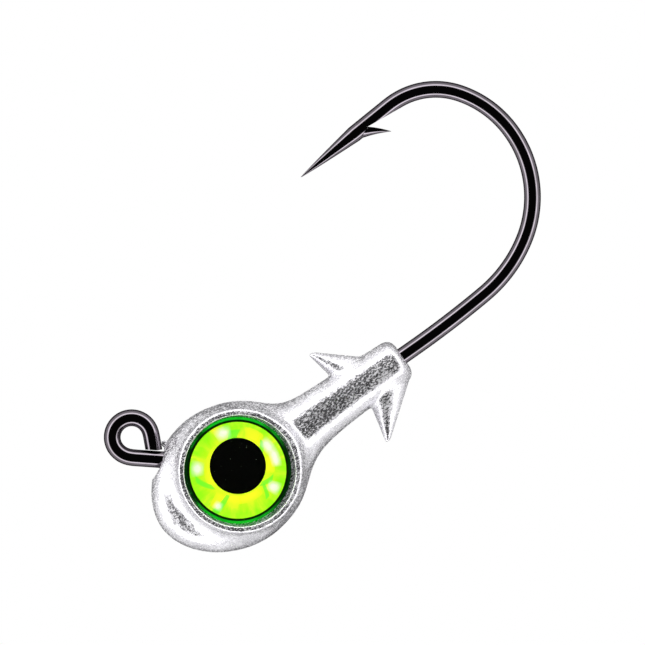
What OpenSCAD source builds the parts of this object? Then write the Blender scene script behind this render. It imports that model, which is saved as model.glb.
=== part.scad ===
// Jig head: a lead ball head with a bait collar, cast round a bent wire hook,
// with a domed foil eye glued into the pocket on each cheek.
//
// Frame: the origin is the middle of the line-tie eye, +X runs along the shank
// from the head to the bend, +Z points to the hook's point, and the hook's wire
// lies in the XZ plane. The fish faces -X, so its left cheek is on the -Y side.

/* [Hook] */
// Diameter of the hook wire
wire_d = 1.4; // [1.1:0.05:1.5]
// Radius of the line-tie eye, at the middle of the wire
loop_r = 1.65; // [1.5:0.05:2]
// Length of the straight leg that drops from the line-tie eye into the head
leg_length = 9.1; // [8.8:0.1:9.6]
// Where the straight shank ends and the bend begins, along X
shank_end = 28.6; // [24:0.1:40]
// Length of the ground point
point_length = 6; // [5:0.5:8]

/* [Head] */
// Diameter of the round cheeks, which is also the height of the head
cheek_d = 11.9; // [11.6:0.1:12.4]
// Diameter of the rounded nose in front of them, seen from the side
nose_d = 11.3; // [10.6:0.1:11.6]
// Width of the nose, at its widest
nose_width = 6.2; // [5.6:0.1:6.4]
// Width across the rims of the two eye pockets
rim_width = 6.6; // [6.5:0.1:7]
// Where the bait collar ends, along X
collar_end = 22.3; // [20:0.1:22.8]
// Diameter of the bait collar where it leaves the head
collar_d = 4.7; // [4.4:0.1:5]
// Diameter of the bait collar at its end
collar_tip_d = 3.8; // [3.4:0.1:4]

/* [Eyes] */
// Diameter of the foil disc
foil_d = 8.9; // [8.6:0.1:8.9]
// Diameter of the clear dome
dome_d = 8.3; // [8:0.1:8.4]
// Height of the clear dome above the foil
dome_height = 0.95; // [0.7:0.05:1.2]
// Diameter of the printed pupil
pupil_d = 4.6; // [4:0.1:5]

/* [Hidden] */

$fn = 96;
wire_fn = 48;

// Hook wire. Each stretch of it is [length, 0] for straight wire, or [radius,
// steps] for a bend, where one step is the sharp angle of a 3-4-5 triangle, so
// that the stretches meet at exact places.
bend_step = atan(3 / 4);
leg_bend_r = 3;        // the bend inside the head, from the leg to the shank
loop_steps = [4, 3];   // the line-tie eye, in two parts
loop_gap = 0.06;       // its cut end stops this far short of the leg
hook_bend = [[14.1, 1], [8.4, 1], [9.7, 1], [7.1, 1], [6, 1]];
point_lead = 3.35;     // full wire between the bend and the ground point
point_tip_d = 0.06;
// Barb, in the frame of the ground point: X ahead along the wire, Y inwards
barb_tip = [-2.33, 1.72];
barb_throat = [-0.96, 0.22];
barb_front = [-0.25, 0.6];
barb_width = 0.8;
slice_end = [-3.9, 0.7];

shank_drop = leg_bend_r * (1 - cos(bend_step)) + leg_length * sin(bend_step)
    + loop_r * cos(bend_step);
shank_start = (leg_bend_r - loop_r) * sin(bend_step) + leg_length * cos(bend_step);

// Cast head
nose_x = 3.3;          // the middle of the nose's round
eye_x = 5.75;          // the middle of the cheeks and the eye pockets' axis
eye_z = -0.1 - shank_drop;
rim_d = 10.06;         // outside of the raised rim
rim_foot_d = 10.9;
rim_step = 0.8;
collar_front = 12.5;   // the collar's cone begins here, past the flare
flare_r = 1.6;
collar_round = 0.6;    // rounding at the collar's end

// Eye pocket and the layers stacked in it, each as a thickness
pocket_d = 9.36;
pocket_depth = 0.8;
adhesive_d = 8.5;
adhesive_t = 0.28;
foil_t = 0.12;
pupil_t = 0.05;
dome_edge = 0.15;      // upright edge of the dome below its curve
foil_shift = [-0.1, 0.15];    // the discs sit a little off the pocket's axis
pupil_shift = [0.2, 0.3];     // and the pupil off the disc's middle

floor_y = rim_width / 2 - pocket_depth;
foil_y = floor_y + adhesive_t;
face_y = foil_y + foil_t;

// A straight wire along X from the origin
module straight_wire(length) {
    rotate([0, 90, 0]) cylinder(h = length, d = wire_d, $fn = wire_fn);
}

// A wire bend from the origin, leaving along X and turning towards +Y
module wire_bend(radius, turn) {
    translate([0, radius, 0])
        rotate([0, 0, -90])
            rotate_extrude(angle = turn)
                translate([radius, 0]) circle(d = wire_d, $fn = wire_fn);
}

// Lays stretches of wire end to end, and puts the children at the far end
module wire_run(stretches, i = 0) {
    if (i == len(stretches)) {
        children();
    } else {
        size = stretches[i][0];
        turn = stretches[i][1] * bend_step;
        if (turn == 0) {
            straight_wire(size);
            translate([size, 0, 0]) wire_run(stretches, i + 1) children();
        } else {
            wire_bend(size, turn);
            past_bend(size, turn) wire_run(stretches, i + 1) children();
        }
    }
}

// Carries the children from the start of a bend to its end
module past_bend(radius, turn) {
    translate([0, radius, 0])
        rotate([0, 0, turn])
            translate([0, -radius, 0]) children();
}

// Stands a drawing of the hook's plane up, with its origin at the shank's end
module hook_plane() {
    rotate([90, 0, 0]) translate([shank_end, -shank_drop, 0]) children();
}

// The last of the line-tie eye's wire, cut off slantwise where it meets the leg
module cut_end() {
    reach = 2 * wire_d;
    turned = (loop_steps[0] + loop_steps[1]) * bend_step;
    difference() {
        straight_wire(reach);
        past_bend(loop_r, -turned)
            translate([-2 * reach, -reach, -wire_d])
                cube([3 * reach, reach + wire_d / 2 + loop_gap, 2 * wire_d]);
    }
}

// From the shank's end back to the head: the shank, the bend hidden in the
// casting, the leg and the line-tie eye
module shank_leg_and_eye() {
    hook_plane()
        mirror([1, 0, 0])
            wire_run([
                [shank_end - shank_start, 0],
                [leg_bend_r, 1],
                [leg_length, 0],
                [loop_r, loop_steps[0]],
                [loop_r, loop_steps[1]]
            ]) cut_end();
}

// The barb: a sliver raised from the inner side of the wire
module barb() {
    translate([0, 0, -barb_width / 2])
        linear_extrude(barb_width) polygon([barb_front, [0, 0], barb_throat, barb_tip]);
}

// The notch that is left where the barb was sliced up
module barb_slice() {
    translate([0, 0, -wire_d])
        linear_extrude(2 * wire_d) polygon([barb_throat, slice_end, barb_tip]);
}

// Puts the children where the full wire ends and the ground point begins
module at_point(i = 0) {
    if (i == len(hook_bend))
        translate([point_lead, 0, 0]) children();
    else
        past_bend(hook_bend[i][0], hook_bend[i][1] * bend_step) at_point(i + 1) children();
}

// The bend, the straight lead, the ground point and its barb
module bend_and_point() {
    hook_plane() {
        difference() {
            wire_run(concat(hook_bend, [[point_lead, 0]]));
            at_point() barb_slice();
        }
        at_point() {
            rotate([0, 90, 0])
                cylinder(h = point_length, d1 = wire_d, d2 = point_tip_d, $fn = wire_fn);
            barb();
        }
    }
}

module hook() {
    color([0.10, 0.10, 0.12]) {
        shank_leg_and_eye();
        bend_and_point();
    }
}

// The narrow nose and jaw: round from the side, and an oval from above
module nose() {
    oval = [for (a = [-90 : 7.5 : 90]) [nose_d / 2 * cos(a), nose_width / 2 * sin(a)]];
    translate([nose_x, 0, -shank_drop])
        rotate([90, 0, 0])
            rotate_extrude() polygon(oval);
}

// The round cheeks, cut flat at the rims
module cheeks() {
    translate([eye_x, 0, -shank_drop])
        intersection() {
            sphere(d = cheek_d);
            rotate([90, 0, 0]) cylinder(h = rim_width, d = cheek_d + 1, center = true);
        }
}

// The raised rims round the two eye pockets, one turning through both cheeks
module rims() {
    half = rim_width / 2;
    translate([eye_x, 0, eye_z])
        rotate([90, 0, 0])
            rotate_extrude()
                polygon([
                    [0, -half], [rim_d / 2, -half], [rim_foot_d / 2, rim_step - half],
                    [rim_foot_d / 2, half - rim_step], [rim_d / 2, half], [0, half]
                ]);
}

// The bait collar: a flare out of the head, a slow taper and a rounded end
module collar() {
    front_r = collar_d / 2;
    end_r = collar_tip_d / 2;
    flare = [for (a = [60 : -15 : 0])
        [front_r + flare_r * (1 - cos(a)), collar_front - flare_r * sin(a)]];
    rounded_end = [for (a = [0 : 15 : 90])
        [end_r - collar_round * (1 - cos(a)), collar_end - collar_round * (1 - sin(a))]];
    translate([0, 0, -shank_drop])
        rotate([0, 90, 0])
            rotate_extrude()
                polygon(concat([[0, flare[0][1]]], flare, rounded_end, [[0, collar_end]]));
}

// A bait keeper barb: a four-sided spike leaning towards the head, with X
// measured from the collar's end. The base runs from front to rear, and its
// corners lie half way up the collar.
module keeper(tip, front, rear, half_base) {
    base_z = 0.8;
    hull() {
        translate([tip[0], 0, tip[1]]) sphere(d = 0.24, $fn = 12);
        translate([front, 0, base_z]) cylinder(h = 0.5, d = 0.3, $fn = 12);
        translate([rear, 0, base_z]) cylinder(h = 0.5, d = 0.3, $fn = 12);
        for (side = [-1, 1])
            translate([(front + rear) / 2, side * half_base, base_z])
                cylinder(h = 0.5, d = 0.1, $fn = 12);
    }
}

module keepers() {
    translate([collar_end, 0, -shank_drop]) {
        keeper(tip = [-6.1, 4.4], front = -5.6, rear = -2, half_base = 1.4);
        mirror([0, 0, 1])
            keeper(tip = [-4.95, 5.1], front = -4.3, rear = -0.35, half_base = 1.2);
    }
}

// The pocket for one glued eye, on the +Y cheek
module eye_pocket() {
    translate([eye_x, floor_y, eye_z])
        rotate([-90, 0, 0]) cylinder(h = pocket_depth + 1, d = pocket_d);
}

module head_casting() {
    color([0.76, 0.76, 0.79])
        difference() {
            union() {
                nose();
                cheeks();
                rims();
                collar();
                keepers();
            }
            eye_pocket();
            mirror([0, 1, 0]) eye_pocket();
            shank_leg_and_eye();
        }
}

// Places a disc of one eye on the +Y cheek: its back is at depth y
module eye_layer(y, shift = [0, 0]) {
    translate([eye_x + foil_shift[0] + shift[0], y, eye_z + foil_shift[1] + shift[1]])
        rotate([-90, 0, 0]) children();
}

// The adhesive pad that holds the foil disc in its pocket
module eye_adhesive() {
    color([0.92, 0.92, 0.90])
        eye_layer(floor_y) cylinder(h = adhesive_t, d = adhesive_d);
}

// The holographic foil disc
module eye_foil() {
    color([0.62, 0.95, 0.08])
        eye_layer(foil_y) cylinder(h = foil_t, d = foil_d);
}

// The pupil, printed on the foil
module eye_pupil() {
    color([0.02, 0.02, 0.02])
        eye_layer(face_y, pupil_shift) cylinder(h = pupil_t, d = pupil_d);
}

// The clear resin dome over the foil and pupil
module eye_dome() {
    cap = dome_height - dome_edge;
    cap_r = (dome_d * dome_d / 4 + cap * cap) / (2 * cap);
    color([0.85, 0.95, 0.80, 0.35])
        difference() {
            eye_layer(face_y)
                intersection() {
                    cylinder(h = dome_height, d = dome_d);
                    translate([0, 0, dome_height - cap_r]) sphere(r = cap_r, $fn = 180);
                }
            eye_layer(face_y, pupil_shift)
                translate([0, 0, -1]) cylinder(h = 1 + pupil_t, d = pupil_d);
        }
}

// The left eye is the right eye's mirror image
module left() {
    mirror([0, 1, 0]) children();
}

head_casting();
hook();
left() eye_adhesive();  // left_eye_adhesive
left() eye_foil();  // left_eye_foil
left() eye_pupil();  // left_eye_pupil
left() eye_dome();  // left_eye_dome
eye_adhesive();  // right_eye_adhesive
eye_foil();  // right_eye_foil
eye_pupil();  // right_eye_pupil
eye_dome();  // right_eye_dome
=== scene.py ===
"""Looks of the jig head: a lead head cast round a black nickel hook, with two domed foil eyes.

The CAD part sets where everything is. Sizes here are in millimetres, and MM turns them into metres.
"""

import math

import bmesh
import bpy
import numpy as np
from mathutils import Matrix, Vector


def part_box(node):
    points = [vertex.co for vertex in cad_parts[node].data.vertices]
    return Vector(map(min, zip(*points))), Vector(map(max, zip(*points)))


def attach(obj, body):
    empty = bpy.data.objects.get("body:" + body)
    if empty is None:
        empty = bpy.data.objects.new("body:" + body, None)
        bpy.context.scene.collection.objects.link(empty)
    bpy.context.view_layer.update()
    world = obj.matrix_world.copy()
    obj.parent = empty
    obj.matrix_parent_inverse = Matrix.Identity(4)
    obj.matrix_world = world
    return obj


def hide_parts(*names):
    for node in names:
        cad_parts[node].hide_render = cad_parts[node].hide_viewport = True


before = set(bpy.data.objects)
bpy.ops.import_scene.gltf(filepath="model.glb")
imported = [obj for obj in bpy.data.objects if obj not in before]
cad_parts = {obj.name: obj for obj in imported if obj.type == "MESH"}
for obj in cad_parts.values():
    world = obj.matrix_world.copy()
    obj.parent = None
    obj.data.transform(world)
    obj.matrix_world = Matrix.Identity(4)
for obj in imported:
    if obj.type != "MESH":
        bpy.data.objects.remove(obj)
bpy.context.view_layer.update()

MM = 0.001


# ---------------------------------------------------------------- places, from the CAD part

def box_mm(name):
    """A CAD node's lowest and highest corners, in millimetres."""
    low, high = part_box(name)
    return np.array(low) / MM, np.array(high) / MM


hook_low = box_mm("hook")[0]
head_low, head_high = box_mm("head_casting")
pad_low = box_mm("right_eye_adhesive")[0]
foil_low, foil_high = box_mm("right_eye_foil")
pupil_low, pupil_high = box_mm("right_eye_pupil")
dome_low, dome_high = box_mm("right_eye_dome")

WIRE_R = 0.7
AXIS_Z = hook_low[2] + WIRE_R             # the shank and the collar run along this line
COLLAR_END = head_high[0]
RIM_Y = head_high[1]                      # the rims of the eye pockets stand this far out
FLOOR_Y = pad_low[1]                      # floor of an eye pocket
FOIL_CENTRE = (foil_low + foil_high) / 2
PUPIL_CENTRE = (pupil_low + pupil_high) / 2
FOIL_SHIFT = (-0.1, 0.15)                 # the foil sits this far off the axis of its pocket
EYE_X = FOIL_CENTRE[0] - FOIL_SHIFT[0]    # the axis of the pockets
EYE_Z = FOIL_CENTRE[2] - FOIL_SHIFT[1]


# ---------------------------------------------------------------- camera, light and floor

PHOTO_TILT = math.radians(35)             # the shank rises this much to the right
VIEW_WIDTH = 53.75
VIEW_AIM = (18.49, -1.285)                # what the middle of the picture shows, as X and Z
VIEW_DISTANCE = 300


def add_camera():
    """A camera without perspective on the left cheek's side, square to the plane of the hook."""
    data = bpy.data.cameras.new("camera")
    data.type = "ORTHO"
    data.ortho_scale = VIEW_WIDTH * MM
    camera = bpy.data.objects.new("camera", data)
    bpy.context.scene.collection.objects.link(camera)
    right = Vector((math.cos(PHOTO_TILT), 0, -math.sin(PHOTO_TILT)))
    up = Vector((math.sin(PHOTO_TILT), 0, math.cos(PHOTO_TILT)))
    turn = Matrix((right, up, Vector((0, -1, 0)))).transposed()
    aim = Vector((VIEW_AIM[0], -VIEW_DISTANCE, VIEW_AIM[1])) * MM
    camera.matrix_world = Matrix.Translation(aim) @ turn.to_4x4()
    bpy.context.scene.camera = camera


def add_node(tree, kind, inputs=None, **settings):
    """A new node, with its settings made and its inputs set or linked."""
    made = tree.nodes.new(kind)
    for name, value in settings.items():
        setattr(made, name, value)
    for socket, value in (inputs or {}).items():
        if isinstance(value, bpy.types.NodeSocket):
            tree.links.new(value, made.inputs[socket])
        else:
            made.inputs[socket].default_value = value
    return made


def calc(tree, operation, *values, clamp=False):
    """The result of a Math node."""
    made = add_node(tree, "ShaderNodeMath", dict(enumerate(values)), operation=operation, use_clamp=clamp)
    return made.outputs[0]


def ramp(tree, value, stops):
    """A colour ramp through (place, colour) stops. A colour can be one grey level."""
    made = add_node(tree, "ShaderNodeValToRGB", {0: value})
    elements = made.color_ramp.elements
    while len(elements) < len(stops):
        elements.new(1)
    for element, (place, colour) in zip(elements, stops):
        element.position = place
        grey = isinstance(colour, (int, float))
        element.color = (colour, colour, colour, 1) if grey else (*colour, 1)
    return made.outputs[0]


def mix_colour(tree, share, a, b):
    """Colour a, and more of colour b the nearer the share is to 1."""
    # Of the Mix node's sockets, inputs 6 and 7 and output 2 are the ones for colours
    made = add_node(tree, "ShaderNodeMix", {0: share, 6: a, 7: b}, data_type="RGBA")
    return made.outputs[2]


# Brightness of the studio by the angle from the camera's side in degrees, in its upper and its lower half
STUDIO_ABOVE = [
    (0, 0.002), (52, 0.002), (58, 0.9), (60, 1.0), (70, 1.0), (76, 0.26),
    (104, 0.20), (114, 0.11), (140, 0.05), (158, 0.02), (180, 0.01)
]
STUDIO_BELOW = [
    (0, 0.002), (59, 0.002), (64, 0.9), (65, 1.0), (75, 1.0), (79, 0.28),
    (96, 0.25), (114, 0.20), (140, 0.08), (158, 0.02), (180, 0.01)
]
STUDIO_POWER = 4.2
STUDIO_OVERLAP = 0.75                     # sine of the angle below level at which the upper light sets in


def light_studio():
    """White where the camera looks, but dark behind it, with a bright band round the object."""
    world = bpy.data.worlds.new("studio")
    bpy.context.scene.world = world
    world.use_nodes = True
    tree = world.node_tree
    tree.nodes.clear()
    ray = add_node(tree, "ShaderNodeTexCoord").outputs["Generated"]
    axes = add_node(tree, "ShaderNodeSeparateXYZ", {0: ray}).outputs
    angle = calc(tree, "ARCCOSINE", calc(tree, "MULTIPLY", axes["Y"], -1))
    turn = calc(tree, "DIVIDE", angle, math.pi)
    above = ramp(tree, turn, [(a / 180, level) for a, level in STUDIO_ABOVE])
    below = ramp(tree, turn, [(a / 180, level) for a, level in STUDIO_BELOW])
    rise = calc(tree, "MULTIPLY", axes["X"], math.sin(PHOTO_TILT))
    rise = calc(tree, "MULTIPLY_ADD", axes["Z"], math.cos(PHOTO_TILT), rise)
    bands = mix_colour(tree, calc(tree, "ADD", rise, STUDIO_OVERLAP, clamp=True), below, above)
    lit = add_node(tree, "ShaderNodeBackground", {"Color": bands, "Strength": STUDIO_POWER})
    seen = add_node(tree, "ShaderNodeBackground", {"Color": (1, 1, 1, 1), "Strength": 1})
    camera_ray = add_node(tree, "ShaderNodeLightPath").outputs["Is Camera Ray"]
    both = add_node(tree, "ShaderNodeMixShader", {0: camera_ray, 1: lit.outputs[0], 2: seen.outputs[0]})
    add_node(tree, "ShaderNodeOutputWorld", {"Surface": both.outputs[0]})


FLOOR_REACH = 1500
FLOOR_GAP = 1.2                           # below the lowest place of the head


def add_floor():
    """A pale floor a little below the head, seen edge on by the camera and left out of reflections."""
    reach = FLOOR_REACH * MM
    height = (head_low[2] - FLOOR_GAP) * MM
    corners = [(x * reach, y * reach, height) for x, y in ((-1, -1), (1, -1), (1, 1), (-1, 1))]
    mesh = bpy.data.meshes.new("floor")
    mesh.from_pydata(corners, [], [(0, 1, 2, 3)])
    floor = bpy.data.objects.new("floor", mesh)
    bpy.context.scene.collection.objects.link(floor)
    material, tree, shader = new_material("floor")
    speckle = add_node(tree, "ShaderNodeTexNoise", {"Scale": 900, "Detail": 3})
    tone = ramp(tree, speckle.outputs[0], [(0.3, 0.78), (0.7, 0.82)])
    tree.links.new(tone, shader.inputs["Base Color"])
    shader.inputs["Roughness"].default_value = 0.8
    mesh.materials.append(material)
    floor.visible_glossy = False
    floor.visible_transmission = False


# ---------------------------------------------------------------- materials

def new_material(name):
    """An empty material, with its node tree and its Principled shader."""
    material = bpy.data.materials.new(name)
    material.use_nodes = True
    tree = material.node_tree
    return material, tree, tree.nodes["Principled BSDF"]


def noise(tree, place, size, detail=2.0, roughness=0.5):
    """Noise whose features measure about size millimetres."""
    values = {"Vector": place, "Scale": 1 / (size * MM), "Detail": detail, "Roughness": roughness}
    return add_node(tree, "ShaderNodeTexNoise", values).outputs[0]


def object_place(tree):
    """The place on the object, in metres."""
    return add_node(tree, "ShaderNodeTexCoord").outputs["Object"]


def add_relief(tree, shader, height, depth, strength=1.0):
    """Bumps of a depth in millimetres, where the height goes from 0 to 1."""
    values = {"Height": height, "Strength": strength, "Distance": depth * MM}
    bump = add_node(tree, "ShaderNodeBump", values)
    tree.links.new(bump.outputs[0], shader.inputs["Normal"])


GRAIN_STRETCH = (0.55, 1, 1)              # below 1, the grain is drawn out along the shank
GRAIN_SIZE = 0.11
MOTTLE_SIZE = 0.4
RIPPLE_SIZE = 0.9
DULL_SIZE = 2.2
PIT_SPACING = 1.7
LEAD_RELIEF = 0.025

LEAD_DULL = (0.64, 0.63, 0.665)
LEAD_BRIGHT = (0.80, 0.79, 0.825)
LEAD_SPECK = (0.92, 0.91, 0.94, 1)
LEAD_PIT = (0.22, 0.22, 0.24, 1)


def lead_material():
    """Bare lead as it left the mould: bright, with fine pale specks, dull patches and casting pits."""
    material, tree, shader = new_material("cast_lead")
    place = object_place(tree)
    drawn = add_node(tree, "ShaderNodeMapping", {"Vector": place, "Scale": GRAIN_STRETCH}).outputs[0]
    grain = noise(tree, drawn, GRAIN_SIZE, detail=2, roughness=0.55)
    mottle = noise(tree, drawn, MOTTLE_SIZE, detail=1)
    ripple = noise(tree, place, RIPPLE_SIZE, detail=2)
    dull = noise(tree, place, DULL_SIZE, detail=4, roughness=0.6)
    cells = add_node(tree, "ShaderNodeTexVoronoi", {"Vector": place, "Scale": 1 / (PIT_SPACING * MM)})
    pit = ramp(tree, cells.outputs["Distance"], [(0.035, 0.0), (0.06, 1.0)])

    tone = ramp(tree, dull, [(0.3, LEAD_DULL), (0.7, LEAD_BRIGHT)])
    tone = mix_colour(tree, pit, LEAD_PIT, tone)
    speck = ramp(tree, calc(tree, "MULTIPLY_ADD", dull, 0.3, grain), [(0.63, 0.0), (0.75, 1.0)])
    tone = mix_colour(tree, speck, tone, LEAD_SPECK)
    tree.links.new(tone, shader.inputs["Base Color"])
    tree.links.new(ramp(tree, speck, [(0.0, 0.25), (1.0, 0.50)]), shader.inputs["Roughness"])
    tree.links.new(ramp(tree, speck, [(0.0, 0.90), (1.0, 0.35)]), shader.inputs["Metallic"])

    # The specks hardly stand out: the ripples of the mould's surface make most of the relief
    height = calc(tree, "MULTIPLY_ADD", ripple, 2.4, calc(tree, "MULTIPLY", grain, 0.15))
    height = calc(tree, "MULTIPLY_ADD", mottle, 0.8, height)
    height = calc(tree, "MULTIPLY_ADD", pit, 0.8, height)
    add_relief(tree, shader, height, LEAD_RELIEF)
    return material


WEAR_SIZE = 1.3
NICK_SIZE = 0.09
NICK_DEPTH = 0.004


def wire_material():
    """Black nickel plate over drawn wire: a dark mirror with a few dust-sized nicks."""
    material, tree, shader = new_material("black_nickel_wire")
    place = object_place(tree)
    wear = noise(tree, place, WEAR_SIZE, detail=4, roughness=0.6)
    nick = noise(tree, place, NICK_SIZE, detail=2)
    tone = ramp(tree, wear, [(0.3, (0.155, 0.14, 0.155)), (0.7, (0.20, 0.18, 0.205))])
    tree.links.new(tone, shader.inputs["Base Color"])
    tree.links.new(ramp(tree, wear, [(0.3, 0.10), (0.7, 0.05)]), shader.inputs["Roughness"])
    shader.inputs["Metallic"].default_value = 1.0
    shader.inputs["Specular Tint"].default_value = (0, 0, 0, 1)
    height = ramp(tree, nick, [(0.24, 0.0), (0.32, 1.0)])
    add_relief(tree, shader, height, NICK_DEPTH, strength=0.4)
    return material


FOAM_CELL = 0.12
FOAM_DEPTH = 0.03


def adhesive_material():
    """White foam tape."""
    material, tree, shader = new_material("eye_adhesive")
    foam = noise(tree, object_place(tree), FOAM_CELL, detail=3)
    tree.links.new(ramp(tree, foam, [(0.3, 0.70), (0.7, 0.86)]), shader.inputs["Base Color"])
    tree.links.new(ramp(tree, foam, [(0.3, 0.75), (0.7, 0.95)]), shader.inputs["Roughness"])
    add_relief(tree, shader, foam, FOAM_DEPTH)
    return material


PRINT_R = 5                               # radii on the foil are given to the ramps as shares of this
LIME = (0.33, 0.93, 0.01, 1)
DEEP_LIME = (0.28, 0.90, 0.01)
PALE_LIME = (0.50, 0.96, 0.02)
YELLOW = (0.95, 0.93, 0.02, 1)
GREEN = (0.10, 0.80, 0.03, 1)
# Near white of the painted highlights on the foil
PAINTED_HIGHLIGHT = (1.0, 1.0, 0.92, 1)
# Green of the foil's margin, painted darker as in shade and brighter as where lit
MARGIN_GREEN_SHADED = (0.0, 0.02, 0.001)
MARGIN_GREEN_LIT = (0.003, 0.38, 0.010)
# Near black of the painted shade under the dome's edge
DOME_EDGE_SHADE = (0.0, 0.008, 0.0, 1)
HIGHLIGHT_SHARE = 0.95                        # how much of the print a painted highlight covers
FACET_SHARE = 0.75                        # and how much of it another facet does

# Facets of the foil, each as its middle angle and width in degrees, its inner and outer radius, how many
# degrees it leans over for each millimetre of radius, how soft its edge is, and its colour; pale ones are
# painted highlights
FOIL_FACETS = [
    (28, 22, 2.2, 3.5, 6, 0.2, YELLOW),
    (-24, 24, 2.2, 2.9, 0, 0.15, YELLOW),
    (202, 12, 2.5, 3.6, 4, 0.15, YELLOW),
    (140, 70, 2.2, 2.5, 0, 0.3, YELLOW),
    (-115, 70, 2.2, 2.6, 0, 0.2, YELLOW),
    (64, 14, 2.4, 3.3, -9, 0.1, GREEN),
    (10, 8, 2.5, 3.1, 16, 0.08, GREEN),
    (-56, 11, 2.2, 2.9, 24, 0.06, GREEN),
    (-71, 6, 2.4, 3.3, -14, 0.06, GREEN),
    (210, 7, 2.2, 4.0, -4, 0.07, GREEN),
    (168, 8, 2.5, 3.5, -20, 0.15, GREEN),
    # Painted highlights: pale glints fixed on the foil in place of reflections
    (77, 4, 3.25, 3.3, 0, 0.6, PAINTED_HIGHLIGHT),
    (4, 8, 3.15, 3.2, 0, 0.5, PAINTED_HIGHLIGHT),
    (-16, 12, 3.2, 3.25, 0, 0.45, PAINTED_HIGHLIGHT),
    (-60, 3, 3.1, 3.4, 0, 0.45, PAINTED_HIGHLIGHT),
    (206, 1, 3.35, 3.4, 0, 0.4, PAINTED_HIGHLIGHT),
    (143, 4, 3.3, 3.4, 0, 0.55, PAINTED_HIGHLIGHT),
]


def soft_band(tree, value, middle, half, soft):
    """1 while value is within half of middle, falling to 0 over the soft distance beyond that."""
    off = calc(tree, "ABSOLUTE", calc(tree, "SUBTRACT", value, middle))
    return calc(tree, "DIVIDE", calc(tree, "SUBTRACT", half + soft, off), soft, clamp=True)


def foil_polar(tree):
    """The angle and the radius of a place on the foil, round its middle."""
    axes = add_node(tree, "ShaderNodeSeparateXYZ", {0: object_place(tree)}).outputs
    east = calc(tree, "DIVIDE", calc(tree, "SUBTRACT", axes["X"], FOIL_CENTRE[0] * MM), MM)
    north = calc(tree, "DIVIDE", calc(tree, "SUBTRACT", axes["Z"], FOIL_CENTRE[2] * MM), MM)
    square = calc(tree, "ADD", calc(tree, "POWER", east, 2), calc(tree, "POWER", north, 2))
    return calc(tree, "ARCTAN2", north, east), calc(tree, "SQRT", square)


def foil_streaks(tree, angle, radius):
    """Noise drawn out into streaks that run out from the middle."""
    around = add_node(tree, "ShaderNodeCombineXYZ", {
        0: calc(tree, "COSINE", angle),
        1: calc(tree, "SINE", angle),
        2: calc(tree, "MULTIPLY", radius, 0.12),
    }).outputs[0]
    return add_node(tree, "ShaderNodeTexNoise", {"Vector": around, "Scale": 4.5, "Detail": 2}).outputs[0]


def add_facet(tree, colour, angle, radius, facet):
    """The foil's colour with one facet laid over it: a printed facet, and for the pale ones a painted
    highlight.
    """
    middle, width, near, far, lean, soft, tint = facet
    half_way = (near + far) / 2
    leaning = calc(tree, "MULTIPLY", calc(tree, "SUBTRACT", radius, half_way), math.radians(lean))
    turned_by = calc(tree, "SUBTRACT", calc(tree, "SUBTRACT", angle, leaning), math.radians(middle))
    off_middle = calc(tree, "MULTIPLY", calc(tree, "PINGPONG", turned_by, math.pi), half_way)
    wedge = soft_band(tree, off_middle, 0, math.radians(width / 2) * half_way, soft)
    band = soft_band(tree, radius, half_way, (far - near) / 2, soft)
    # A painted highlight covers more of the print than a printed facet
    most = HIGHLIGHT_SHARE if tint is PAINTED_HIGHLIGHT else FACET_SHARE
    share = calc(tree, "MULTIPLY", calc(tree, "MULTIPLY", wedge, band), most)
    return mix_colour(tree, share, colour, tint)


def foil_material():
    """Fluorescent lime film, printed with holographic streaks and facets, with painted highlights, a ring
    of painted shade under the dome's edge, painted light and shade on its margin, and a glow of painted
    light.
    """
    material, tree, shader = new_material("eye_foil")
    angle, radius = foil_polar(tree)
    streak = foil_streaks(tree, angle, radius)
    outwards = calc(tree, "DIVIDE", radius, PRINT_R)
    colour = ramp(tree, streak, [
        (0.30, DEEP_LIME), (0.45, LIME[:3]), (0.62, PALE_LIME), (0.8, YELLOW[:3])
    ])
    inner = ramp(tree, outwards, [(0.46, 0.55), (0.72, 0.0)])
    colour = mix_colour(tree, inner, colour, YELLOW)
    for facet in FOIL_FACETS:
        colour = add_facet(tree, colour, angle, radius, facet)

    # The margin outside the ring is green print with painted light and shade on it: brighter at the top
    # and bottom of the picture than at its sides
    margin = ramp(tree, outwards, [(0.81, 0.0), (0.83, 1.0)])
    from_top = calc(tree, "SUBTRACT", angle, math.radians(90) - PHOTO_TILT)
    shade = calc(tree, "COSINE", calc(tree, "MULTIPLY", from_top, 2))
    shade = calc(tree, "MULTIPLY_ADD", shade, 0.5, streak)
    # Painted light and shade on the margin, laid into its colour
    edge = ramp(tree, shade, [(0.25, MARGIN_GREEN_SHADED), (0.95, MARGIN_GREEN_LIT)])
    colour = mix_colour(tree, margin, colour, edge)
    # A ring of painted shade laid on the foil where the edge of the dome looks dark
    painted_rim_shade = ramp(tree, outwards, [
        (0.0, 0.0), (0.795, 0.0), (0.806, 1.0), (0.840, 1.0), (0.852, 0.0)
    ])
    colour = mix_colour(tree, painted_rim_shade, colour, DOME_EDGE_SHADE)

    tree.links.new(colour, shader.inputs["Base Color"])
    # The foil glows in its own colour: painted light that keeps it bright, though it is no lamp
    tree.links.new(colour, shader.inputs["Emission Color"])
    shader.inputs["Emission Strength"].default_value = 0.65
    shader.inputs["Specular IOR Level"].default_value = 0.15
    tree.links.new(ramp(tree, streak, [(0.3, 0.25), (0.7, 0.45)]), shader.inputs["Roughness"])
    return material


DUST_SIZE = 0.16


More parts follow.
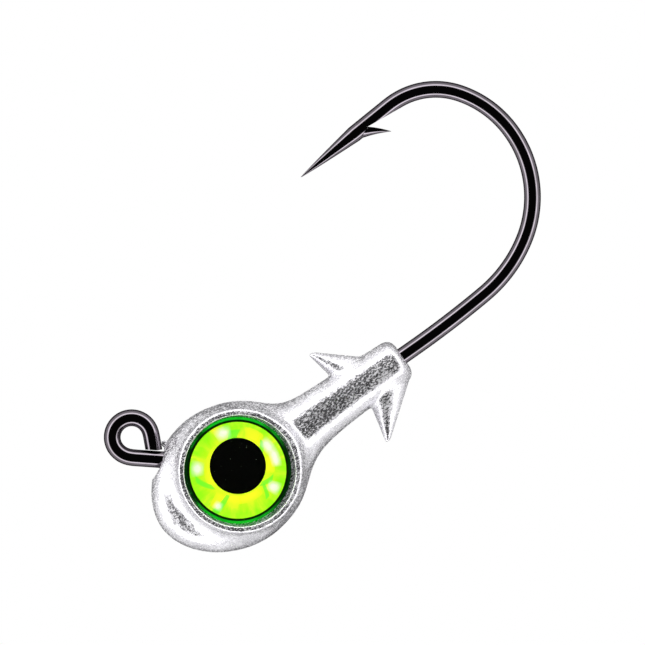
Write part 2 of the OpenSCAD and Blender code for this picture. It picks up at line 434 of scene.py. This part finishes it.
def ink_material():
    """Black printing ink with a few specks of dust caught under the resin."""
    material, tree, shader = new_material("eye_ink")
    dust = noise(tree, object_place(tree), DUST_SIZE, detail=1)
    tone = ramp(tree, dust, [(0.76, (0.002, 0.002, 0.002)), (0.80, (0.10, 0.14, 0.10))])
    tree.links.new(tone, shader.inputs["Base Color"])
    tree.links.new(ramp(tree, dust, [(0.3, 0.15), (0.7, 0.25)]), shader.inputs["Roughness"])
    shader.inputs["Specular IOR Level"].default_value = 0.2
    return material


WAVE_SIZE = 2.5
WAVE_DEPTH = 0.02


def resin_material():
    """Clear cast resin, hardly uneven."""
    material, tree, shader = new_material("eye_resin")
    wave = noise(tree, object_place(tree), WAVE_SIZE, detail=1)
    add_relief(tree, shader, wave, WAVE_DEPTH)
    tree.links.new(ramp(tree, wave, [(0.3, 0.02), (0.7, 0.035)]), shader.inputs["Roughness"])
    shader.inputs["Base Color"].default_value = (1, 1, 1, 1)
    shader.inputs["Transmission Weight"].default_value = 1.0
    shader.inputs["IOR"].default_value = 1.5
    return material


# ---------------------------------------------------------------- shapes: making and finishing meshes

def new_piece(name, points, faces, material, replaced, sharp_angle=None):
    """A smooth-shaded piece from points in millimetres, riding on the root and standing for a CAD node."""
    mesh = bpy.data.meshes.new(name)
    mesh.from_pydata([tuple(p) for p in np.asarray(points) * MM], [], faces)
    mesh.validate()
    mesh.shade_smooth()
    if sharp_angle is not None:
        mesh.set_sharp_from_angle(angle=math.radians(sharp_angle))
    mesh.materials.append(material)
    piece = bpy.data.objects.new(name, mesh)
    bpy.context.scene.collection.objects.link(piece)
    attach(piece, "root")
    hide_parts(replaced)
    return piece


SAME_PLACE = 0.0001                       # points closer than this are one point
SHORT_EDGE = 0.001                        # and edges shorter than this are left out of a finished mesh


def finish_mesh(mesh):
    """Leaves out edges too short to see, and shades the mesh smooth."""
    cleaned = bmesh.new()
    cleaned.from_mesh(mesh)
    bmesh.ops.remove_doubles(cleaned, verts=cleaned.verts, dist=SHORT_EDGE * MM)
    bmesh.ops.dissolve_degenerate(cleaned, edges=cleaned.edges, dist=SHORT_EDGE * MM)
    cleaned.to_mesh(mesh)
    cleaned.free()
    mesh.shade_smooth()


# ---------------------------------------------------------------- head casting, as a distance field

NOSE_X = 4.85
NOSE_RADII = (7.12, 5.95)                 # the head's outline from the side, along X and Z
NOSE_SHARPNESS = 1.88                     # 2 makes that outline an ellipse, and less draws it to a point
NOSE_DROOP = math.radians(3)
NOSE_DROP = 0.03                          # its middle is this far below the collar's axis
NOSE_HALF = 2.62                          # half the width of the nose at the cheeks
NOSE_TAPER = 0.12                         # and how much less it is for each millimetre ahead of them
NOSE_FULLNESS = 5                         # how flat the sides of the nose stay before they round off
BALL_R = 5.7
BALL_DROP = 0.06                          # its middle is this far below the collar's axis
CHEEK_INSET = 0.05                        # it is cut flat this far inside the rims
RIM_R = 5.23                              # outside of the raised rim
RIM_ROUND = 0.36
POCKET_R = 4.65
POCKET_FLOOR_R = 4.42                     # the floor rises in a ramp from here to the pocket's wall
POCKET_RAMP = math.radians(32)
COLLAR_FRONT = 12.5
COLLAR_FRONT_R = 2.22
COLLAR_TAPER = 0.044                      # how much thinner it gets for each millimetre
COLLAR_START = 6                          # it runs into the ball from here on
COLLAR_END_ROUND = 1.0
KEEPER_BASE = 0.9                         # a keeper's front and rear are given at this height
KEEPER_ROOT = 0.6                         # and it ends at this one, inside the collar
KEEPER_TIP_R = 0.17
KEEPER_RIDGE = 0.42                       # where its sides are widest, as a share from front to rear
KEEPER_SHARPNESS = 1.6                    # 1 makes its section a diamond, and 2 an oval
KEEPER_INSET = 0.15                       # it stops this far short of the collar's end
SEAM_HEIGHT = 0.03                        # the parting line of the mould, round the whole casting
SEAM_WIDTH = 0.11
LEG_SLOPE = 39                            # the hook's leg drops into the casting at this angle
LEG_OFFSET = 1.717                        # and its axis passes this far from the line-tie eye's middle
LEG_ENTRY = 3.15                          # how far along the leg the casting closes on it
LEG_FUNNEL = 0.8                          # how much the funnel widens for each millimetre
FLASH_ALONG = LEG_ENTRY - 0.3             # the middle of the tab of flash, along the leg
FLASH_RISE = 1.2                          # and above the leg's axis
FLASH_HALF = (0.35, 0.42, 0.09)           # and its half sizes along the leg, across it and sideways
CELL = 0.095                              # of the grid that the mesh is drawn on


def soft_min(a, b, k):
    """The union of two distance fields with a blend about k wide."""
    share = np.clip(0.5 + 0.5 * (b - a) / k, 0, 1)
    return b + (a - b) * share - k * share * (1 - share)


def soft_max(a, b, k):
    """Where two distance fields overlap, with a blend about k wide."""
    return -soft_min(-a, -b, k)


def smooth_step(x, low, high):
    """0 at low, 1 at high, smooth between them and level beyond. low can be the larger one."""
    t = np.clip((x - low) / (high - low), 0, 1)
    return t * t * (3 - 2 * t)


def from_eye_axis(x, z):
    """How far a place is from the axis of the eye pockets."""
    return np.hypot(x - EYE_X, z - (EYE_Z - AXIS_Z))


def flat_nose(x, y, z):
    """About the distance to the nose: an oval from the side, with flat cheeks and rounded edges."""
    along, up = x / NOSE_RADII[0], z / NOSE_RADII[1]
    oval = (np.abs(along) ** NOSE_SHARPNESS + np.abs(up) ** NOSE_SHARPNESS) ** (1 / NOSE_SHARPNESS)
    oval = np.maximum(oval, 1e-3)
    half = NOSE_HALF + NOSE_TAPER * np.clip(x, -8, 0)
    value = oval ** NOSE_FULLNESS + (y / half) ** 2 - 1
    oval_slope = np.hypot(along / NOSE_RADII[0], up / NOSE_RADII[1]) / oval
    slope = np.hypot(NOSE_FULLNESS * oval ** (NOSE_FULLNESS - 1) * oval_slope, 2 * y / half ** 2)
    return value / np.maximum(slope, 0.4)


def rounded_edge(out, up, round_r):
    """A solid below out = 0 and up = 0, whose edge is rounded."""
    beyond = np.hypot(np.maximum(out + round_r, 0), np.maximum(up + round_r, 0))
    return beyond + np.minimum(np.maximum(out, up) + round_r, 0) - round_r


def keeper(x, y, z, tip, front, rear, half_width):
    """A bait keeper barb above the collar's axis: a spike from front to rear, leaning towards the head."""
    down = np.clip((tip[1] - z) / (tip[1] - KEEPER_BASE), 0, 1.3)
    ridge = tip[0] + down * (front + KEEPER_RIDGE * (rear - front) - tip[0])
    ahead = KEEPER_TIP_R + down * (KEEPER_RIDGE * (rear - front) - KEEPER_TIP_R)
    behind = KEEPER_TIP_R + down * ((1 - KEEPER_RIDGE) * (rear - front) - KEEPER_TIP_R)
    along = np.where(x < ridge, ahead, behind)
    across = KEEPER_TIP_R + down * (half_width - KEEPER_TIP_R)
    section = (np.abs(x - ridge) / along) ** KEEPER_SHARPNESS + (np.abs(y) / across) ** KEEPER_SHARPNESS
    section = np.maximum(section, 1e-3) ** (1 / KEEPER_SHARPNESS)
    field = (section - 1) * along * across / np.hypot(along, across)
    field = soft_max(field, z - tip[1], 0.2)
    field = soft_max(field, KEEPER_ROOT - z, 0.2)
    return soft_max(field, x - COLLAR_END + KEEPER_INSET, 0.3)


def along_leg(x, z):
    """How far a place is along the hook's leg from the line-tie eye, and how far above the leg's axis."""
    slope = math.radians(LEG_SLOPE)
    up = z + AXIS_Z
    along = x * math.cos(slope) - up * math.sin(slope)
    above = x * math.sin(slope) + up * math.cos(slope) + LEG_OFFSET
    return along, above


def leg_recess(x, y, z):
    """The funnel left round the wire where it enters the casting."""
    along, above = along_leg(x, z)
    return (np.hypot(y, above) - WIRE_R - LEG_FUNNEL * (LEG_ENTRY - along)) * 0.9


def leg_flash(x, y, z):
    """A thin tab of flash in the parting plane, beside the cut end of the wire."""
    along, above = along_leg(x, z)
    offsets = (along - FLASH_ALONG, above - FLASH_RISE, y)
    return np.maximum.reduce([np.abs(offset) - half for offset, half in zip(offsets, FLASH_HALF)])


def ball_and_nose(x, y, z):
    """The round cheeks with their rims, and the nose that grows out of them."""
    side = np.abs(y)
    ball = np.sqrt((x - EYE_X) ** 2 + y ** 2 + (z + BALL_DROP) ** 2) - BALL_R
    ball = soft_max(ball, side - RIM_Y + CHEEK_INSET, 0.1)
    rim = rounded_edge(from_eye_axis(x, z) - RIM_R, side - RIM_Y, RIM_ROUND)
    cheeks = soft_min(ball, rim, 0.1)
    blend = 0.15 + 0.75 * smooth_step(x, 4.5, 2.5)        # soft in front, and tight beside the cheeks
    ahead = (x - NOSE_X) * math.cos(NOSE_DROOP) + z * math.sin(NOSE_DROOP)
    upward = z * math.cos(NOSE_DROOP) - (x - NOSE_X) * math.sin(NOSE_DROOP)
    return soft_min(cheeks, flat_nose(ahead, y, upward + NOSE_DROP), blend)


def add_collar(head, x, y, z):
    """The head joined to the tapered bait collar, with a wider flare below than above."""
    round_axis = np.hypot(y, z)
    collar = round_axis - COLLAR_FRONT_R + (x - COLLAR_FRONT) * COLLAR_TAPER
    collar = soft_max(collar, x - COLLAR_END, COLLAR_END_ROUND)
    collar = soft_max(collar, COLLAR_START - x, 0.5)
    below = smooth_step(-z / np.maximum(round_axis, 0.1), -0.6, 1.0)
    return soft_min(head, collar, 1.5 + 0.8 * below)


def eye_pockets(x, y, z):
    """The pockets on both cheeks: round, with a ramp between the floor and the wall."""
    above_floor = np.abs(y) - FLOOR_Y
    from_eye = from_eye_axis(x, z)
    pocket = soft_max(from_eye - POCKET_R, -above_floor, 0.05)
    ramp_out, ramp_up = math.sin(POCKET_RAMP), math.cos(POCKET_RAMP)
    return soft_max(pocket, (from_eye - POCKET_FLOOR_R) * ramp_out - above_floor * ramp_up, 0.05)


def head_field(x, y, z):
    """Distance to the casting's surface, negative inside. z is measured from the collar's axis."""
    head = add_collar(ball_and_nose(x, y, z), x, y, z)
    upper = keeper(x, y, z, tip=(16.2, 4.52), front=16.7, rear=20.6, half_width=1.5)
    lower = keeper(x, y, -z, tip=(17.3, 5.14), front=18.1, rear=23.0, half_width=1.35)
    head = soft_min(head, soft_min(upper, lower, 0.1), 0.25)
    head = head - SEAM_HEIGHT * np.exp(-(y / SEAM_WIDTH) ** 2)
    head = soft_min(head, leg_flash(x, y, z), 0.1)
    head = soft_max(head, -leg_recess(x, y, z), 0.06)
    return soft_max(head, -eye_pockets(x, y, z), 0.08)


def grid_axis(low, high):
    """Evenly spaced grid places that reach a little past low and high."""
    steps = int(math.ceil((high - low + 6 * CELL) / CELL))
    return low - 3 * CELL + CELL * np.arange(steps + 1)


def crossings(values, axes, axis):
    """Where the surface crosses the grid's edges along one axis, and which edges it crosses."""
    low = [slice(None)] * 3
    high = [slice(None)] * 3
    low[axis], high[axis] = slice(None, -1), slice(1, None)
    a, b = values[tuple(low)], values[tuple(high)]
    crossed = (a < 0) != (b < 0)
    share = np.where(crossed, a / np.where(crossed, a - b, 1), 0)
    places = np.stack(np.meshgrid(*[ax[s] for ax, s in zip(axes, low)], indexing="ij"))
    places[axis] += share * CELL
    return crossed, places, a < 0


def surface_net(values, axes):
    """Quads along the surface where values change sign: one point in each cell that it passes through."""
    cells = tuple(n - 1 for n in values.shape)
    total = np.zeros((3, *cells))
    count = np.zeros(cells)
    edges = [crossings(values, axes, axis) for axis in range(3)]
    for axis, (crossed, places, _) in enumerate(edges):
        u, v = [a for a in range(3) if a != axis]
        for du in (0, 1):
            for dv in (0, 1):
                part = [slice(None)] * 3
                part[u] = slice(du, cells[u] + du)
                part[v] = slice(dv, cells[v] + dv)
                hit = crossed[tuple(part)]
                total += np.where(hit, places[(slice(None), *part)], 0)
                count += hit
    active = count > 0
    index = np.full(cells, -1)
    index[active] = np.arange(active.sum())
    points = (total[:, active] / count[active]).T

    quads = []
    for axis, (crossed, _, starts_inside) in enumerate(edges):
        u, v = (axis + 1) % 3, (axis + 2) % 3
        inner = [slice(None)] * 3
        inner[u] = slice(1, -1)
        inner[v] = slice(1, -1)
        at = np.argwhere(crossed[tuple(inner)])
        at[:, u] += 1
        at[:, v] += 1
        ring = []
        for du, dv in ((-1, -1), (0, -1), (0, 0), (-1, 0)):
            place = at.copy()
            place[:, u] += du
            place[:, v] += dv
            ring.append(index[tuple(place.T)])
        quad = np.stack(ring, axis=1)
        flip = ~starts_inside[tuple(at.T)]
        quad[flip] = quad[flip][:, ::-1]
        quads.append(quad)
    return points, np.concatenate(quads)


def settle(points, field, rounds=3):
    """Moves points onto the surface where the field is zero."""
    step = 1e-3
    for _ in range(rounds):
        value = field(*points.T)
        slope = np.stack([
            (field(*(points + step * axis).T) - field(*(points - step * axis).T)) / (2 * step)
            for axis in np.eye(3)
        ], axis=1)
        move = value[:, None] * slope / np.maximum((slope ** 2).sum(1), 0.1)[:, None]
        points = points - np.clip(move, -CELL / 2, CELL / 2)
    return points


def build_head():
    """The casting's mesh, from its distance field."""
    axes = [
        grid_axis(head_low[0], head_high[0]),
        grid_axis(-RIM_Y, RIM_Y),
        grid_axis(head_low[2] - AXIS_Z, head_high[2] - AXIS_Z),
    ]
    values = head_field(*np.meshgrid(*axes, indexing="ij"))
    points, quads = surface_net(values, axes)
    points = settle(points, head_field)
    points[:, 2] += AXIS_Z
    head = new_piece("lead_casting", points, quads.tolist(), lead_material(), "head_casting")
    finish_mesh(head.data)


# ---------------------------------------------------------------- hook, as a swept wire

LOOP_R = 1.62                             # line-tie eye, at the middle of the wire
LOOP_EASE = (1.85, 40)                    # its radius and turn where it runs into the leg
LEG_BEND_R = 3.0
CUT_END_LENGTH = 1.45                     # straight end of the wire beside the leg
CUT_END_SLOPE = 65
BEND_START = 23.42                        # along the shank
BEND = [(86.4, 5), (11.6, 28), (9.34, 60), (8.71, 34), (6.17, 57)]
POINT_LEAD = 9.45                         # straight wire from the bend to the tip of the point
POINT_LENGTH = 5.7
BARB_PLACE = 6.0                          # the barb's own place, behind the tip
POINT_FULLNESS = 0.87                     # below 1, the ground point bulges a little
TIP_R = 0.02
CUT_GAP = 0.06                            # between the cut end and the leg
CUT_REACH = 2.2 * WIRE_R                  # the slantwise cut reaches this far along the wire
# The barb, measured ahead and inwards from its own place
BARB_TIP = (-2.29, 1.80)
BARB_THROAT = (-0.96, 0.22)
BARB_FRONT = (0.1, 0.64)
BARB_HALF = 0.62                          # half its width
BARB_BOW = -0.09                          # how far it curves off the straight line to its tip
BARB_SHARPNESS = 0.98                     # 1 would end it in a knife edge
BARB_TIP_HALF = 0.015
SLICE_END = (-4.0, 0.72)                  # where the cut that raised the barb leaves the wire
SLICE_OVERLAP = 0.05                      # the cut starts this far inside the barb's root
SLICE_REACH = 2.0                         # the cutter reaches this far out of the wire
SLICE_HALF = 1.5
RING_STEP = 0.12                          # between two rings of the swept wire
RING_SIDES = 48
BEND_EASE = 0.8                           # length over which one bend eases into the next
HOOK_SHARP = 35                           # edges sharper than this angle stay sharp


def arc(radius, degrees):
    """A stretch of bent wire, as its length and how far it turns to the left."""
    turn = math.radians(degrees)
    return radius * turn, turn


def straight(length):
    """A straight stretch of wire."""
    return length, 0.0


def walk(start, heading, stretches):
    """Places and headings along stretches of wire laid end to end, easing from each bend into the next."""
    ends = np.concatenate([[0], np.cumsum([length for length, _ in stretches])])
    turned = np.concatenate([[0], np.cumsum([turn for _, turn in stretches])])
    along = np.linspace(0, ends[-1], int(ends[-1] / RING_STEP) + 2)
    ease = np.linspace(-BEND_EASE / 2, BEND_EASE / 2, 9)
    headings = heading + np.interp(along[:, None] + ease, ends, turned).mean(axis=1)
    middle = (headings[1:] + headings[:-1]) / 2
    moves = np.stack([np.cos(middle), np.sin(middle)], axis=1) * along[1]
    return start + np.concatenate([[[0, 0]], np.cumsum(moves, axis=0)]), headings


def wire_path():
    """The middle of the wire in the XZ plane, from the cut end beside the leg to the tip of the point."""
    heading = math.radians(CUT_END_SLOPE)
    loop_turn = 360 - LEG_SLOPE - CUT_END_SLOPE
    loop_start = LOOP_R * np.array([math.sin(heading), -math.cos(heading)])
    start = loop_start - CUT_END_LENGTH * np.array([math.cos(heading), math.sin(heading)])
    loop = [straight(CUT_END_LENGTH), arc(LOOP_R, loop_turn - LOOP_EASE[1]), arc(*LOOP_EASE)]
    leg_top = walk(start, heading, loop)[0][-1]

    slope = math.radians(LEG_SLOPE)
    leg = (leg_top[1] - AXIS_Z - LEG_BEND_R * (1 - math.cos(slope))) / math.sin(slope)
    shank_start = leg_top[0] + leg * math.cos(slope) + LEG_BEND_R * math.sin(slope)
    rest = [straight(leg), arc(LEG_BEND_R, LEG_SLOPE), straight(BEND_START - shank_start)]
    rest += [arc(*bend) for bend in BEND] + [straight(POINT_LEAD)]
    return walk(start, heading, loop + rest)


def swept_wire(places, headings, radii):
    """Points and faces of a round wire along a path in the XZ plane, closed at both ends."""
    turn = np.arange(RING_SIDES) * 2 * math.pi / RING_SIDES
    inward = np.stack([-np.sin(headings), np.zeros(len(headings)), np.cos(headings)], axis=1)
    middle = np.stack([places[:, 0], np.zeros(len(places)), places[:, 1]], axis=1)
    ring = np.cos(turn)[None, :, None] * inward[:, None, :]
    ring = ring + np.sin(turn)[None, :, None] * np.array([0, 1, 0])
    points = (middle[:, None, :] + radii[:, None, None] * ring).reshape(-1, 3)
    faces = []
    for i in range(len(places) - 1):
        for j in range(RING_SIDES):
            a, b = i * RING_SIDES + j, i * RING_SIDES + (j + 1) % RING_SIDES
            faces.append((a, a + RING_SIDES, b + RING_SIDES, b))
    faces.append(tuple(range(RING_SIDES)))
    faces.append(tuple(reversed(range(len(points) - RING_SIDES, len(points)))))
    return points, faces


def cut_slantwise(points, headings):
    """Cuts the start of the wire off along a plane beside the leg, by sliding its points along it."""
    slope = math.radians(LEG_SLOPE)
    across = np.array([math.sin(slope), 0, math.cos(slope)])
    plane = CUT_GAP + WIRE_R - LEG_OFFSET
    along = np.array([math.cos(headings[0]), 0, math.sin(headings[0])])
    start = points[: int(CUT_REACH / RING_STEP) * RING_SIDES]
    short = plane - start @ across
    move = np.maximum(short, 0) / (along @ across)
    start += move[:, None] * along        # start is a view, so this moves the points themselves


def point_frame(places, headings):
    """The barb's place on the ground point, and its directions: ahead along the wire, and inwards."""
    ahead = np.array([math.cos(headings[-1]), 0, math.sin(headings[-1])])
    inward = np.array([-ahead[2], 0, ahead[0]])
    tip = np.array([places[-1, 0], 0, places[-1, 1]])
    return tip - BARB_PLACE * ahead, ahead, inward


def barb_sections(steps=14, across=12):
    """The barb as rings of points (ahead, side, inwards): flat where it was sliced, and round in front."""
    tip, throat, front = np.array(BARB_TIP), np.array(BARB_THROAT), np.array(BARB_FRONT)
    rings = []
    for i in range(steps + 1):
        t = BARB_SHARPNESS * i / steps
        bow = np.array([0, BARB_BOW * math.sin(math.pi * t)])
        low = throat + (tip - throat) * t + bow
        top = front + (tip - front) * t + bow
        half = BARB_HALF * (1 - t) ** 0.8 + BARB_TIP_HALF
        ring = [(low[0], -half, low[1]), (low[0], half, low[1])]
        for j in range(across + 1):
            a = math.pi * j / across
            spot = low + (top - low) * math.sin(a) ** 0.6
            ring.append((spot[0], half * math.cos(a), spot[1]))
        rings.append(ring)
    return rings


def slice_sections():
    """The cut that raised the barb, as the two ends of a wedge: points (ahead, side, inwards)."""
    throat = BARB_THROAT[0] + SLICE_OVERLAP
    notch = [(throat, BARB_THROAT[1]), SLICE_END, (SLICE_END[0], SLICE_REACH), (throat, SLICE_REACH)]
    return [[(ahead, side, inwards) for ahead, inwards in notch] for side in (-SLICE_HALF, SLICE_HALF)]


def solid_from_rings(rings):
    """Points and faces of a closed solid through rings of points."""
    count = len(rings[0])
    points = [p for ring in rings for p in ring]
    faces = []
    for i in range(len(rings) - 1):
        for j in range(count):
            a, b = i * count + j, i * count + (j + 1) % count
            faces.append((a, b, b + count, a + count))
    faces.append(tuple(reversed(range(count))))
    faces.append(tuple(range(len(points) - count, len(points))))
    return points, faces


def boolean_tool(name, rings, place):
    """A closed solid through rings of points (ahead, side, inwards), at a place on the wire."""
    start, ahead, inward = place
    points, faces = solid_from_rings(rings)
    points = [start + p[0] * ahead + p[1] * np.array([0, 1, 0]) + p[2] * inward for p in points]
    mesh = bpy.data.meshes.new(name)
    mesh.from_pydata([tuple(p * MM) for p in points], [], faces)
    made = bpy.data.objects.new(name, mesh)
    bpy.context.scene.collection.objects.link(made)
    cleaned = bmesh.new()
    cleaned.from_mesh(mesh)
    bmesh.ops.remove_doubles(cleaned, verts=cleaned.verts, dist=SAME_PLACE * MM)
    bmesh.ops.recalc_face_normals(cleaned, faces=cleaned.faces)
    cleaned.to_mesh(mesh)
    cleaned.free()
    return made


def apply_boolean(piece, tool, operation):
    """Cuts a tool from a piece or joins it on, and removes the tool."""
    change = piece.modifiers.new("change", "BOOLEAN")
    change.object = tool
    change.operation = operation
    change.solver = "EXACT"
    bpy.context.view_layer.update()
    result = bpy.data.meshes.new_from_object(piece.evaluated_get(bpy.context.evaluated_depsgraph_get()))
    piece.modifiers.clear()
    piece.data = result
    bpy.data.objects.remove(tool)


def ground_radii(places):
    """The wire's radius at each place: full, and then less and less towards the tip of the point."""
    steps = np.linalg.norm(np.diff(places, axis=0), axis=1)
    to_tip = steps.sum() - np.concatenate([[0], np.cumsum(steps)])
    ground = (to_tip / POINT_LENGTH).clip(0, 1) ** POINT_FULLNESS
    return TIP_R + (WIRE_R - TIP_R) * ground


def build_hook():
    """The hook's mesh: the whole wire in one sweep, with its cut end and ground point, then its barb."""
    places, headings = wire_path()
    points, faces = swept_wire(places, headings, ground_radii(places))
    cut_slantwise(points, headings)
    hook = new_piece("hook_wire", points, faces, wire_material(), "hook")
    place = point_frame(places, headings)
    apply_boolean(hook, boolean_tool("slice", slice_sections(), place), "DIFFERENCE")
    apply_boolean(hook, boolean_tool("barb", barb_sections(), place), "UNION")
    finish_mesh(hook.data)
    hook.data.set_sharp_from_angle(angle=math.radians(HOOK_SHARP))


# ---------------------------------------------------------------- eyes, as turned discs

def turned(profile, centre, side, segments=128):
    """Points and faces of a shape turned round Y at a centre. The profile is (radius, y) pairs."""
    points, faces, rings = [], [], []
    for radius, y in profile:
        if radius < 1e-6:
            rings.append([len(points)])
            points.append((centre[0], side * y, centre[2]))
            continue
        rings.append(list(range(len(points), len(points) + segments)))
        for i in range(segments):
            a = 2 * math.pi * i / segments
            points.append((centre[0] + radius * math.cos(a), side * y, centre[2] + radius * math.sin(a)))
    for low, high in zip(rings, rings[1:]):
        for i in range(segments):
            j = (i + 1) % segments
            face = [low[i % len(low)], low[j % len(low)], high[j % len(high)], high[i % len(high)]]
            face = list(dict.fromkeys(face))          # on the axis, two of the corners are one
            faces.append(face if side < 0 else face[::-1])
    return points, faces


EYE_SHARP = 50                            # edges sharper than this angle stay sharp
FOIL_EDGE = 0.04
PUPIL_EDGE = 0.02
PUPIL_SINK = 0.02                         # the pupil's back lies this far inside the foil
DOME_SINK = 0.01
DOME_CAP = 0.84                           # the curved share of the dome's height


def rounded_disc(radius, low, high, edge, steps=6):
    """The profile of a disc with a rounded front edge."""
    bend = [math.pi / 2 * i / steps for i in range(steps + 1)]
    rounded = [(radius - edge + edge * math.cos(a), high - edge + edge * math.sin(a)) for a in bend]
    inner = [(radius * share, high) for share in (0.9, 0.75, 0.5, 0.25)]
    return [(0, low), (radius, low)] + rounded + inner + [(0, high)]


def dome_profile(radius, low, high, steps=36):
    """The profile of the clear dome: a shallow cap over a short upright edge."""
    cap = (high - low) * DOME_CAP
    cap_r = (radius ** 2 + cap ** 2) / (2 * cap)
    curve = []
    for i in range(steps + 1):
        out = radius * math.sin(math.pi / 2 * i / steps)
        curve.append((out, high - cap_r + math.sqrt(cap_r ** 2 - out ** 2)))
    return [(0, low), (radius, low)] + curve[::-1]


def build_eye(name, side, foil, ink, resin):
    """One eye's foil, pupil and dome. side is -1 on the left cheek and 1 on the right."""
    foil_r = (foil_high[0] - foil_low[0]) / 2
    pupil_r = (pupil_high[0] - pupil_low[0]) / 2
    dome_r = (dome_high[0] - dome_low[0]) / 2
    front = foil_high[1]
    foil_shape = rounded_disc(foil_r, foil_low[1], front, FOIL_EDGE)
    pupil_shape = rounded_disc(pupil_r, front - PUPIL_SINK, pupil_high[1], PUPIL_EDGE)
    dome_shape = dome_profile(dome_r, front - DOME_SINK, dome_high[1])
    parts = [
        ("foil", foil_shape, FOIL_CENTRE, foil, "eye_foil"),
        ("pupil", pupil_shape, PUPIL_CENTRE, ink, "eye_ink"),
        ("dome", dome_shape, FOIL_CENTRE, resin, "eye_resin"),
    ]
    for part, profile, centre, material, slot in parts:
        points, faces = turned(profile, centre, side)
        piece = f"{name}_{part}_turned"
        new_piece(piece, points, faces, material, f"{name}_{part}", sharp_angle=EYE_SHARP)


def build_eyes():
    """Both eyes. The hidden adhesive pads stay as the CAD made them."""
    foil, ink, resin, adhesive = foil_material(), ink_material(), resin_material(), adhesive_material()
    for name, side in (("left_eye", -1), ("right_eye", 1)):
        build_eye(name, side, foil, ink, resin)
        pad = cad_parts[f"{name}_adhesive"]
        pad.data.materials.clear()
        pad.data.materials.append(adhesive)


bpy.context.scene.view_settings.view_transform = "Standard"
add_camera()
light_studio()
add_floor()
build_head()
build_hook()
build_eyes()
